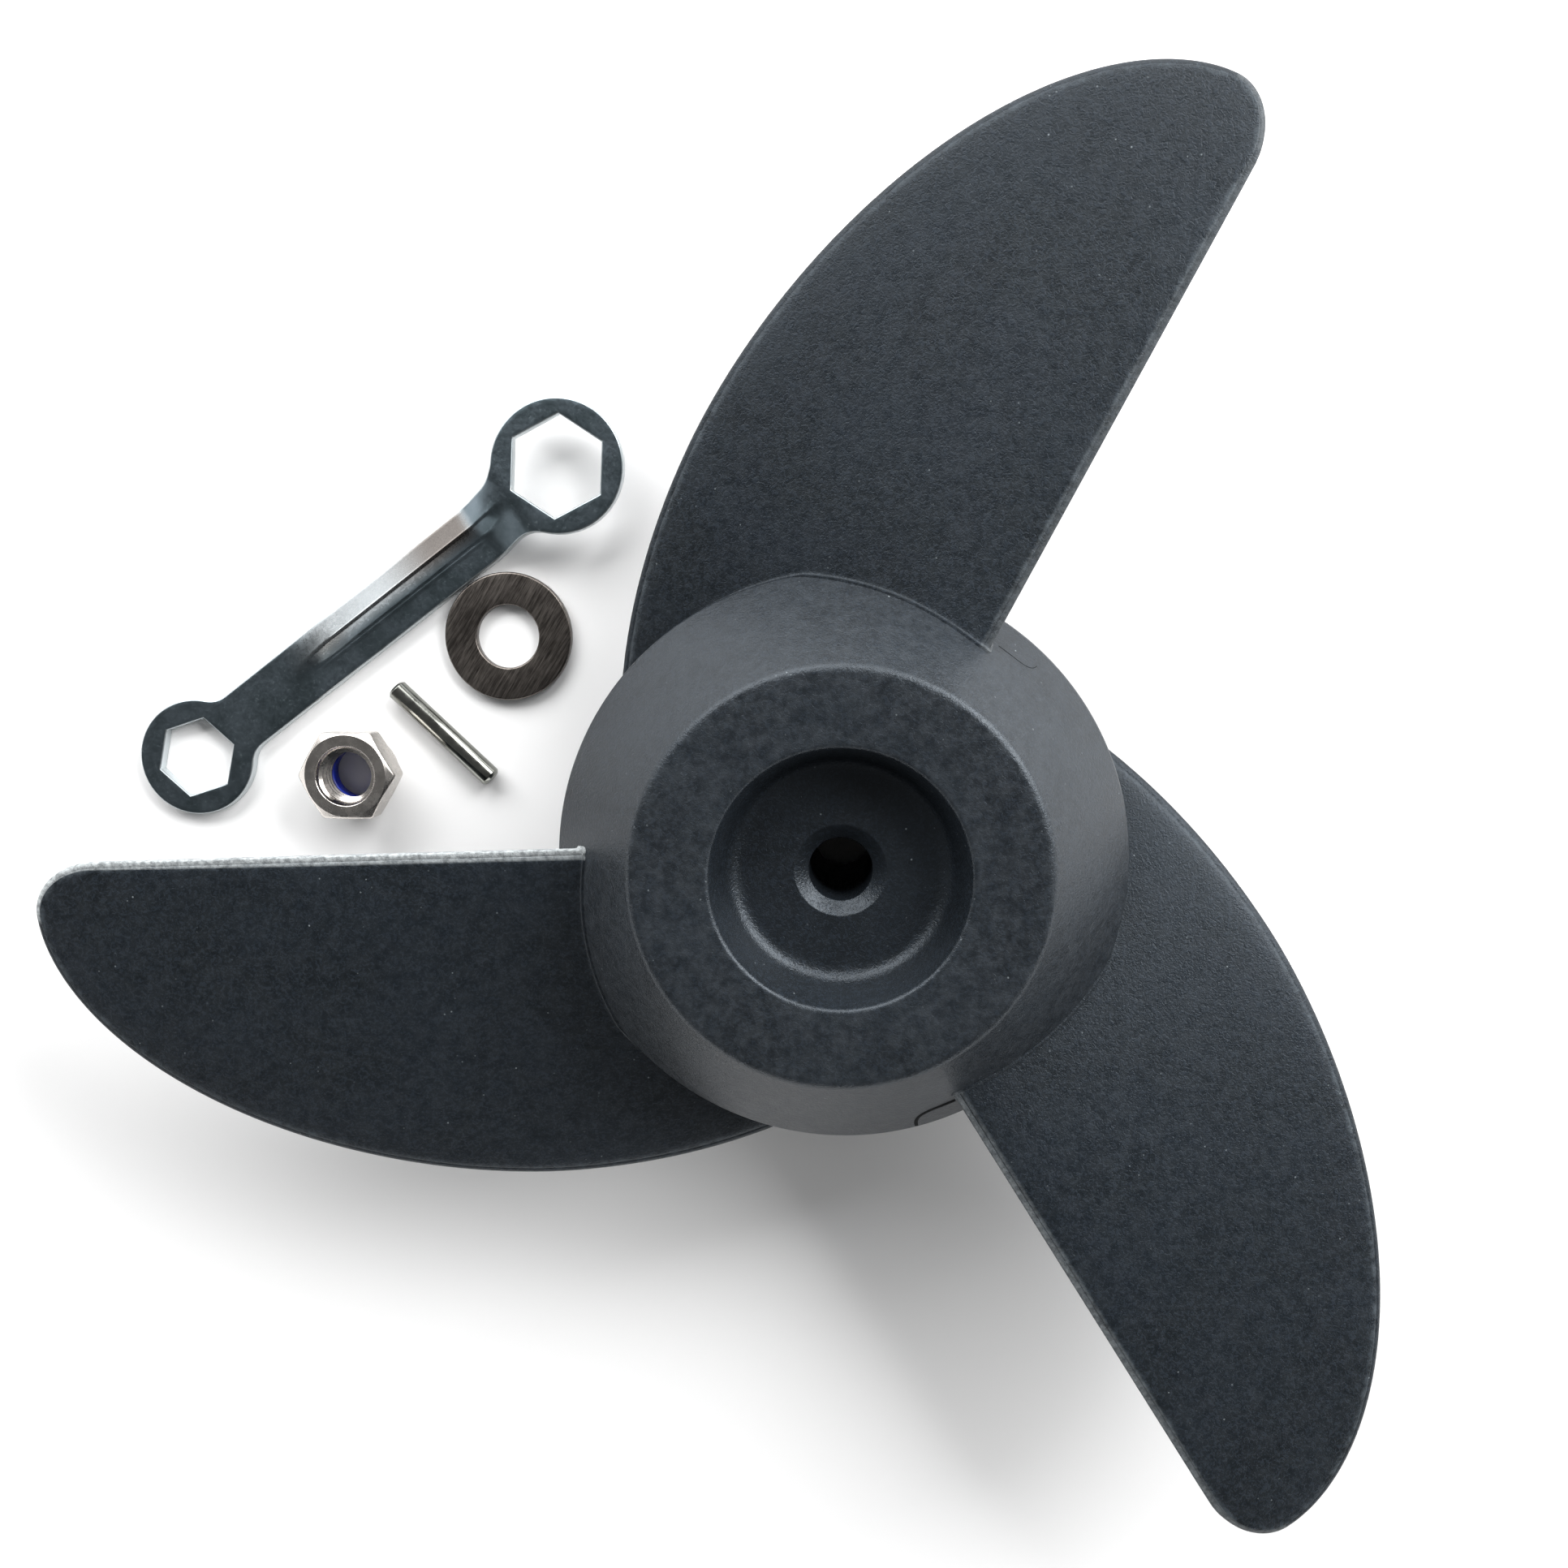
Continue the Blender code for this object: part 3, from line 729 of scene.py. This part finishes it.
def make_blade_mesh():
    """Points, faces and values of one blade in its own frame, its root flared and run into the hub."""
    columns, first_cut, loop = blade_columns()
    count = len(columns)
    grid = []
    for radii, angles, offsets in columns:
        radii = np.maximum.accumulate(radii + np.arange(len(radii)) * 1e-10)

        def at(radius):
            return blade_place(radius, np.interp(radius, radii, angles), np.interp(radius, radii, offsets))

        root = BLADE_START_R + 5 * MM
        for _ in range(30):
            root += 0.7 * (hub_radius(at(root)[2]) - root)
        line = [(at(root + gap * MM), gap) for gap in ROOT_ROWS]
        start, end = root + ROOT_ROWS[-1] * MM, radii[-1]
        for row in range(1, BLADE_ROWS + 1):
            radius = start + (end - start) * math.sin(math.pi / 2 * row / BLADE_ROWS)
            line.append((at(radius), (radius - root) / MM))
        grid.append(line)
    rows = len(grid[0])
    points, values = [], {"edge_mm": [], "scuff": [], "cut": []}
    for column in range(count):
        cut = 1.0 if column >= first_cut + 2 else 0.5 if column < 3 else 0.0
        for row in range(rows):
            point, gap = grid[column][row]
            distance = max(gap, 0.0) * MM
            if distance < ROOT_FILLET:
                before, after = grid[column - 1][row][0], grid[(column + 1) % count][row][0]
                outward = np.cross(np.array((point[0], point[1], 0)), after - before)
                outward /= max(np.linalg.norm(outward), 1e-12)
                flare = ROOT_FILLET - math.sqrt(ROOT_FILLET**2 - (ROOT_FILLET - distance) ** 2)
                point = point + outward * flare
            points.append(point)
            near = float(np.min(np.hypot(loop[:, 0] - point[0], loop[:, 1] - point[1])))
            values["edge_mm"].append(near / MM)
            values["scuff"].append(0.35)
            values["cut"].append(cut)
    faces = []
    for column in range(count):
        here, there = column * rows, (column + 1) % count * rows
        for row in range(rows - 1):
            faces.append((here + row, here + row + 1, there + row + 1, there + row))
    faces.append(tuple(column * rows for column in range(count)))
    return points, faces, values


def make_blades(material):
    points, faces, values = make_blade_mesh()
    for index in range(BLADE_COUNT):
        angle = BLADE_FIRST_ANGLE - math.pi / 2 + 2 * math.pi * index / BLADE_COUNT
        c, s = math.cos(angle), math.sin(angle)
        placed = [(c * x - s * y, s * x + c * y, z) for x, y, z in points]
        name = f"blade_{index + 1}"
        # Each blade's cut value is scaled by its gain, which on the left blade adds a painted highlight.
        wear_and_highlight = {**values, "cut": [value * TRAILING_WEAR_AND_HIGHLIGHT[index] for value in values["cut"]]}
        new_piece(f"{name}_moulding", placed, faces, material, "propeller", [name], wear_and_highlight)


# ---------------------------------------------------------------- kit


def make_washer(material):
    low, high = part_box("washer")
    outer = (high.x - low.x) / 2
    profile = rounded(
        [
            (outer, high.z, 0.45 * MM),
            (outer, low.z, 0.35 * MM),
            (WASHER_HOLE_R, low.z, 0.25 * MM),
            (WASHER_HOLE_R, high.z, 0.4 * MM),
        ],
        5,
    )
    points, faces = turned(profile, 160, centre_of("washer"))
    new_piece("washer_plate", points, faces, material, "washer", ["washer"], crease=50)


def make_pin(material):
    """A pin turned about Z, with its chamfers softened, then laid flat in the middle of its CAD box."""
    end = PIN_LENGTH / 2
    profile = rounded(
        [
            (PIN_R - PIN_CHAMFER, end, 0.12 * MM),
            (PIN_R, end - PIN_CHAMFER, 0.2 * MM),
            (PIN_R, PIN_CHAMFER - end, 0.2 * MM),
            (PIN_R - PIN_CHAMFER, -end, 0.12 * MM),
            (0, -end, 0),
            (0, end, 0),
        ],
        3,
    )
    points, faces = turned(profile, 64)
    c, s = math.cos(PIN_ANGLE), math.sin(PIN_ANGLE)
    low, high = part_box("drive_pin")
    middle = (low + high) / 2
    placed = [(middle.x + c * z - s * y, middle.y + s * z + c * y, middle.z + x) for x, y, z in points]
    new_piece("drive_pin_steel", placed, faces, material, "drive_pin", ["drive_pin"], None, 40)


def softly(a, b, softness):
    """The lower of two values, with the corner between them rounded."""
    share = max(0.0, 1 - abs(a - b) / softness)
    return min(a, b) - share * share * softness / 4


def hexagonal(radius, angle):
    """A radius held within a hexagon with softened corners."""
    turn = angle % (math.pi / 3)
    flat = NUT_FLATS / 2 / math.cos(turn - math.pi / 6)
    nearest = min(turn, math.pi / 3 - turn) * NUT_FLATS / 2
    flat -= 0.12 * MM * max(0.0, 1 - nearest / NUT_EDGE_ROUND) ** 2
    return softly(radius, flat, NUT_EDGE_ROUND)


def nut_profile():
    """The nut's section as if it were round, from its face out past the corners and in to its collar."""
    corner = NUT_FLATS / math.sqrt(3) + 0.4 * MM
    rise = math.tan(NUT_CHAMFER)
    shares = [step / CHAMFER_ROWS for step in range(CHAMFER_ROWS + 1)]
    above, below = corner - NUT_FACE_R, corner - NUT_COLLAR_R
    top = [(NUT_FACE_R + above * share, NUT_HEIGHT - above * share * rise) for share in shares]
    bottom = [(corner - below * share, NUT_HEX_BASE_Z + below * (1 - share) * rise) for share in shares]
    inside = rounded(
        [
            (NUT_COLLAR_R, NUT_HEX_BASE_Z, 0),
            (NUT_COLLAR_R, 0, 1.1 * MM),
            (NUT_COUNTERSINK_R, 0, 0.2 * MM),
            (NUT_COUNTERSINK_R, INSERT_BASE_Z, 0),
            (INSERT_R + INSERT_CLEARANCE, INSERT_BASE_Z, 0),
            (INSERT_R + INSERT_CLEARANCE, INSERT_SEAT_Z, 0),
            (NUT_THREAD_R, INSERT_SEAT_Z, 0),
            (NUT_THREAD_R, NUT_HEIGHT - 1.3 * MM, 0),
            (NUT_COUNTERSINK_R, NUT_HEIGHT, 0.25 * MM),
            (NUT_FACE_R, NUT_HEIGHT, 0),
        ]
    )
    return top + bottom[:-1] + inside[:-1]


def helix(radius, low, high, pitch, width, depth, centre):
    """A screw thread's ridge: a section swept up a helix, let into the wall and faded at both ends."""
    steps_per_turn = 72
    steps = int((high - low) / pitch * steps_per_turn)
    in_wall, crest = 0.25 * MM, 0.12 * width
    section = ((in_wall, -width / 2), (-depth, -crest), (-depth, crest), (in_wall, width / 2))
    points = []
    for step in range(steps + 1):
        angle = 2 * math.pi * step / steps_per_turn
        height = low + pitch * step / steps_per_turn
        taper = min(1, step / 20, (steps - step) / 20)
        for out, up in section:
            r = radius + (out if out > 0 else out * taper)
            points.append((centre[0] + r * math.cos(angle), centre[1] + r * math.sin(angle), height + up))
    return points, joined_rings(steps + 1, len(section))


def make_lock_nut(steel, nylon):
    centre = centre_of("nylon_insert")
    points, faces = turned(nut_profile(), 360, centre, hexagonal)
    new_piece("lock_nut_body", points, faces, steel, "lock_nut", ["lock_nut"], crease=28)
    low, high = INSERT_SEAT_Z + 0.7 * MM, NUT_HEIGHT - 1.1 * MM
    points, faces = helix(NUT_THREAD_R, low, high, THREAD_PITCH, 1.1 * MM, 0.7 * MM, centre)
    new_piece("lock_nut_thread", points, faces, steel, "lock_nut", crease=25)
    profile = rounded(
        [
            (INSERT_R, INSERT_BASE_Z + INSERT_HEIGHT, 0.1 * MM),
            (INSERT_R, INSERT_BASE_Z + 0.05 * MM, 0.1 * MM),
            (INSERT_HOLE_R, INSERT_BASE_Z + 0.05 * MM, 0.5 * MM),
            (INSERT_HOLE_R, INSERT_BASE_Z + INSERT_HEIGHT, 0.5 * MM),
        ]
    )
    points, faces = turned(profile, 96, centre)
    new_piece("nylon_ring", points, faces, nylon, "lock_nut", ["nylon_insert"], crease=50)


# ---------------------------------------------------------------- spanner


def smooth_step(low, high, value):
    share = min(max((value - low) / (high - low), 0), 1)
    return share * share * (3 - 2 * share)


def folded_height(along, across):
    """How far the plate is pressed up at a point of its plan, before the folds are softened."""
    crest, foot, edge = RIB_CREST * HANDLE_WIDTH, RIB_FOOT * HANDLE_WIDTH, HANDLE_WIDTH / 2
    if across >= crest:
        share = max((edge - across) / (edge - crest), 0)
    else:
        share = max((across - foot) / (crest - foot), 0)
    pressed = smooth_step(RIB_START, RIB_FULL, along) * (1 - smooth_step(CRANK_START, CRANK_END, along))
    rise = min(max((along - CRANK_START) / (CRANK_END - CRANK_START), 0), 1)
    return RIB_HEIGHT * share * pressed + CRANK_RISE * rise


def plate_height(along, across):
    """The mean of nearby pressed heights, which rounds the folds, with a low bead at the rib's foot."""
    near = [
        folded_height(along + slide * MM, across + shift * MM)
        for shift in (-0.3, -0.1, 0.1, 0.3)
        for slide in (-0.9, 0, 0.9)
    ]
    starts = smooth_step(RIB_START + 4 * MM, RIB_FULL, along)
    ends = smooth_step(CRANK_START - 4 * MM, CRANK_START, along)
    from_bead = (across - RIB_FOOT * HANDLE_WIDTH + 0.5 * MM) / (0.3 * MM)
    return sum(near) / len(near) + 0.15 * MM * starts * (1 - ends) * math.exp(-from_bead * from_bead)


def arc(centre, radius, start, end):
    count = max(2, int(abs(end - start) * radius / (0.65 * MM)))
    return [
        (centre[0] + radius * math.cos(start + (end - start) * step / count),
         centre[1] + radius * math.sin(start + (end - start) * step / count))
        for step in range(count + 1)
    ]


def straight(start, end, spacing=1.0 * MM):
    length = math.hypot(end[0] - start[0], end[1] - start[1])
    count = max(1, int(length / spacing))
    return [
        (start[0] + (end[0] - start[0]) * step / count, start[1] + (end[1] - start[1]) * step / count)
        for step in range(1, count)
    ]


def spanner_outline():
    """The spanner's plan, counter-clockwise: two rings joined by the handle with filleted shoulders."""
    half = HANDLE_WIDTH / 2
    small_fillet, large_fillet = 5 * MM, 7 * MM
    small_x = math.sqrt((SMALL_RING_R + small_fillet) ** 2 - (half + small_fillet) ** 2)
    large_x = SPANNER_CENTRES - math.sqrt((LARGE_RING_R + large_fillet) ** 2 - (half + large_fillet) ** 2)
    small_turn = math.atan2(half + small_fillet, small_x)
    large_turn = math.atan2(half + large_fillet, large_x - SPANNER_CENTRES)
    upper = []
    upper += arc((SPANNER_CENTRES, 0), LARGE_RING_R, 0, large_turn)
    upper += arc((large_x, half + large_fillet), large_fillet, large_turn - math.pi, -math.pi / 2)[1:]
    upper += straight((large_x, half), (small_x, half))
    upper += arc((small_x, half + small_fillet), small_fillet, -math.pi / 2, small_turn - math.pi)
    upper += arc((0, 0), SMALL_RING_R, small_turn, math.pi)[1:]
    lower = [(x, -y) for x, y in upper[1:-1]][::-1]
    return upper + lower


def hexagon_outline(centre, flats, turn):
    """A hexagon, clockwise, with points along its sides."""
    corners = [
        (centre[0] + flats / math.sqrt(3) * math.cos(turn - step * math.pi / 3),
         centre[1] + flats / math.sqrt(3) * math.sin(turn - step * math.pi / 3))
        for step in range(6)
    ]
    points = []
    for index, corner in enumerate(corners):
        following = corners[(index + 1) % 6]
        points += [corner] + straight(corner, following, 0.9 * MM)
    return points


def offset_loop(loop, distance):
    """A closed loop moved to its left by a distance, mitred at its corners."""
    loop = np.array(loop)
    ahead = np.roll(loop, -1, 0) - loop
    ahead /= np.linalg.norm(ahead, axis=1, keepdims=True)
    left = np.stack([-ahead[:, 1], ahead[:, 0]], 1)
    both = left + np.roll(left, 1, 0)
    both /= (both * left).sum(1, keepdims=True)
    return loop + distance * both


def inside_loop(point, loop):
    x, y = point
    x0, y0 = loop[:, 0], loop[:, 1]
    x1, y1 = np.roll(x0, -1), np.roll(y0, -1)
    crossing = (y0 > y) != (y1 > y)
    with np.errstate(divide="ignore", invalid="ignore"):
        at = x0 + (y - y0) * (x1 - x0) / (y1 - y0)
    return int((crossing & (at > x)).sum()) % 2 == 1


def connected_triangles(plan, triangles, walls, start):
    """The triangles that can be reached from the one nearest a point without crossing a wall."""
    beside = {}
    for index, triangle in enumerate(triangles):
        for side in range(3):
            beside.setdefault(frozenset((triangle[side], triangle[side - 1])), []).append(index)
    middles = [sum((plan[i] for i in triangle), Vector((0, 0))) / 3 for triangle in triangles]
    first = min(range(len(triangles)), key=lambda index: (middles[index] - start).length)
    reached, waiting = {first}, [first]
    while waiting:
        triangle = triangles[waiting.pop()]
        for side in range(3):
            edge = frozenset((triangle[side], triangle[side - 1]))
            if edge not in walls:
                found = [index for index in beside[edge] if index not in reached]
                reached.update(found)
                waiting += found
    return [tuple(triangles[index]) for index in sorted(reached)]


def plate_plan(insets):
    """The plate's plan in triangles, inside the first of its inset loops and outside the others.

    Gives the plan's points, its triangles, and where each point of the loops is among the points.
    """
    flat, edges = [], []
    for inset in insets:
        first = len(flat)
        flat += [tuple(p) for p in inset]
        edges += [(first + i, first + (i + 1) % len(inset)) for i in range(len(inset))]
    rim = np.array(flat)
    outline, *holes = insets
    columns = int((SPANNER_CENTRES + LARGE_RING_R + SMALL_RING_R) / PLATE_GRID)
    across = [row * PLATE_GRID - LARGE_RING_R for row in range(int(2 * LARGE_RING_R / PLATE_GRID) + 1)]
    across += [row * FOLD_GRID for row in FOLD_ROWS]
    for column in range(columns + 1):
        for y in sorted(across):
            point = (column * PLATE_GRID - SMALL_RING_R, y)
            clear = np.min(np.hypot(rim[:, 0] - point[0], rim[:, 1] - point[1])) > 0.4 * PLATE_GRID
            in_hole = any(inside_loop(point, hole) for hole in holes)
            if clear and inside_loop(point, outline) and not in_hole:
                flat.append(point)
    made = delaunay_2d_cdt([Vector(p) for p in flat], edges, [], 0, 0)
    plan, triangles, origins = made[0], made[2], made[3]
    where = {source: index for index, sources in enumerate(origins) for source in sources}
    walls = {frozenset((where[a], where[b])) for a, b in edges}
    in_handle = Vector((SPANNER_CENTRES / 2, 0))
    return plan, connected_triangles(plan, triangles, walls, in_handle), where


def sheared_levels():
    """Steps down the plate's rounded edge: share of the way out, height, and how fresh the cut is."""
    upper = []
    for turn in (30, 60, 90):
        out = math.sin(math.radians(turn))
        down = 1 - math.cos(math.radians(turn))
        upper.append((out, PLATE - SHEARED_ROUND * down, 1.0 if turn == 90 else 0.5))
    lower = [(out, PLATE - level, 1.0 if out > 0.9 else 0.4) for out, level, _ in upper[::-1]]
    return upper + lower


def make_spanner(material):
    """The pressed plate: two faces joined by sheared edges round its outline and its two hexagons."""
    loops = [
        np.array(spanner_outline()),
        np.array(hexagon_outline((0, 0), SMALL_HEX_FLATS, SMALL_HEX_ANGLE)),
        np.array(hexagon_outline((SPANNER_CENTRES, 0), LARGE_HEX_FLATS, LARGE_HEX_ANGLE)),
    ]
    insets = [offset_loop(loop, SHEARED_ROUND) for loop in loops]
    plan, triangles, where = plate_plan(insets)
    points, values = [], {"cut": [], "pressed": [], "painted_slope_shade": []}

    def place(x, y, z, cut):
        c, s = math.cos(SPANNER_ANGLE), math.sin(SPANNER_ANGLE)
        points.append((SPANNER_SMALL_CENTRE[0] + c * x - s * y, SPANNER_SMALL_CENTRE[1] + s * x + c * y, z))
        # The rib's slope carries the painted highlight, and its far end the painted shade.
        before_crank = 1 - smooth_step(CRANK_START - 3 * MM, CRANK_START, x)
        bright = smooth_step(RIB_START, RIB_FULL, x) * before_crank
        on_slope = smooth_step(RIB_FOOT * HANDLE_WIDTH, RIB_CREST * HANDLE_WIDTH, y)
        values["pressed"].append(bright * on_slope)
        values["cut"].append(cut)
        # Painted shade on the far end of the rib's slope, within the painted highlight's mask.
        values["painted_slope_shade"].append(0.85 * bright * on_slope * smooth_step(46 * MM, 62 * MM, x))
        return len(points) - 1

    top = [place(p.x, p.y, plate_height(p.x, p.y) + PLATE, 0.0) for p in plan]
    bottom = [place(p.x, p.y, plate_height(p.x, p.y), 0.0) for p in plan]
    faces = [tuple(top[i] for i in triangle) for triangle in triangles]
    faces += [tuple(bottom[i] for i in triangle[::-1]) for triangle in triangles]
    first = 0
    for loop, inset in zip(loops, insets):
        count = len(loop)
        rings = [[top[where[first + i]] for i in range(count)]]
        for out, level, cut in sheared_levels():
            edge = inset + (loop - inset) * out
            rings.append([place(*edge[i], plate_height(*inset[i]) + level, cut) for i in range(count)])
        rings.append([bottom[where[first + i]] for i in range(count)])
        for upper, lower in zip(rings, rings[1:]):
            for i in range(count):
                following = (i + 1) % count
                faces.append((upper[i], lower[i], lower[following], upper[following]))
        first += count
    new_piece("spanner_plate", points, faces, material, "spanner", ["spanner"], values, 38)


# ---------------------------------------------------------------- stage


def make_camera():
    """A camera almost straight above the object, upright in the plan."""
    data = bpy.data.cameras.new("camera")
    data.lens, data.sensor_width = 32.03, 36
    camera = bpy.data.objects.new("camera", data)
    camera.location = (2.1 * MM, 38.3 * MM, 262.6 * MM)
    target = Vector((-11.2 * MM, 9.04 * MM, 0))
    aim = target - camera.location
    right = aim.cross(Vector((0, 1, 0))).normalized()
    up = right.cross(aim).normalized()
    turn = Matrix((right, up, -aim.normalized())).transposed()
    camera.rotation_euler = turn.to_euler()
    bpy.context.scene.collection.objects.link(camera)
    bpy.context.scene.camera = camera


def make_floor():
    """A pale round floor just below the object."""
    radius, steps = 0.6, 128
    turns = [2 * math.pi * step / steps for step in range(steps)]
    mesh = bpy.data.meshes.new("floor")
    rim = [(radius * math.cos(turn), radius * math.sin(turn), -0.05 * MM) for turn in turns]
    mesh.from_pydata(rim, [], [tuple(range(steps))])
    material, tree, shader = new_material("floor")
    tone = mapped(tree, noise(tree, object_coordinates(tree), 0.4, 2), 0.3, 0.7)
    colour = mixed(tree, tone, (0.86, 0.86, 0.86, 1), (0.88, 0.88, 0.88, 1))
    connect(tree, shader.inputs["Base Color"], colour)
    shader.inputs["Roughness"].default_value = 0.9
    mesh.materials.append(material)
    floor = bpy.data.objects.new("floor", mesh)
    bpy.context.scene.collection.objects.link(floor)


def make_light(name, azimuth, elevation, distance, size, power):
    """A soft panel at a compass direction from the object, aimed at it."""
    data = bpy.data.lights.new(name, "AREA")
    data.shape = "RECTANGLE"
    data.size, data.size_y = size
    data.energy = power
    light = bpy.data.objects.new(name, data)
    a, e = math.radians(azimuth), math.radians(elevation)
    direction = Vector((math.cos(a) * math.cos(e), math.sin(a) * math.cos(e), math.sin(e)))
    light.location = direction * distance
    light.rotation_euler = direction.to_track_quat("Z", "Y").to_euler()
    bpy.context.scene.collection.objects.link(light)


def make_world():
    """A grey studio: dim straight above, bright at the horizon and as pale as the floor below it."""
    world = bpy.data.worlds.new("studio")
    bpy.context.scene.world = world
    world.use_nodes = True
    tree = world.node_tree
    background = tree.nodes["Background"]
    direction = add(tree, "ShaderNodeTexCoord", output="Generated")
    split = tree.nodes.new("ShaderNodeSeparateXYZ")
    tree.links.new(direction, split.inputs[0])
    above = mapped(tree, split.outputs["Z"], 0.02, 0.32, 1.0, 0.05)
    below = mapped(tree, split.outputs["Z"], -0.03, -0.005, 0.3, 1.0)
    tone = maths(tree, "MULTIPLY", above, below)
    connect(tree, background.inputs["Color"], mixed(tree, tone, (0.0, 0.0, 0.0, 1), (1, 1, 1, 1)))
    background.inputs["Strength"].default_value = 3.6


make_camera()
make_floor()
make_world()
make_light("key", 112, 32, 0.9, (1.1, 0.5), 13)
make_light("side", 38, 32, 0.9, (0.7, 0.5), 15)
bpy.context.scene.view_settings.view_transform = "Standard"

blade_plastic = moulded_plastic("blade_plastic", 0.7, 0.4, (0.40, 0.54), 0.28, rgb("0b0f12"), rgb("10151a"))
hub_plastic = moulded_plastic("hub_plastic", 0.6, 0.4, (0.30, 0.40), 0.36, rgb("111417"), rgb("171b1f"))
make_hub(hub_plastic)
make_blades(blade_plastic)
# The parting lines are drawn in painted shade.
line_shade_material = parting_shade_material()
make_parting_line(2, math.radians(6), math.radians(10), 4.6 * MM, 0.55 * MM, line_shade_material)
make_parting_line(0, math.radians(7), math.radians(9), 2.0 * MM, 0.10 * MM, line_shade_material)
make_washer(washer_steel())
make_pin(polished_steel("pin_steel", "83847f", 0.14, 0.24))
make_lock_nut(polished_steel("nut_steel", "c2bdb8", 0.22, 0.30), blue_nylon())
make_spanner(zinc_plate())
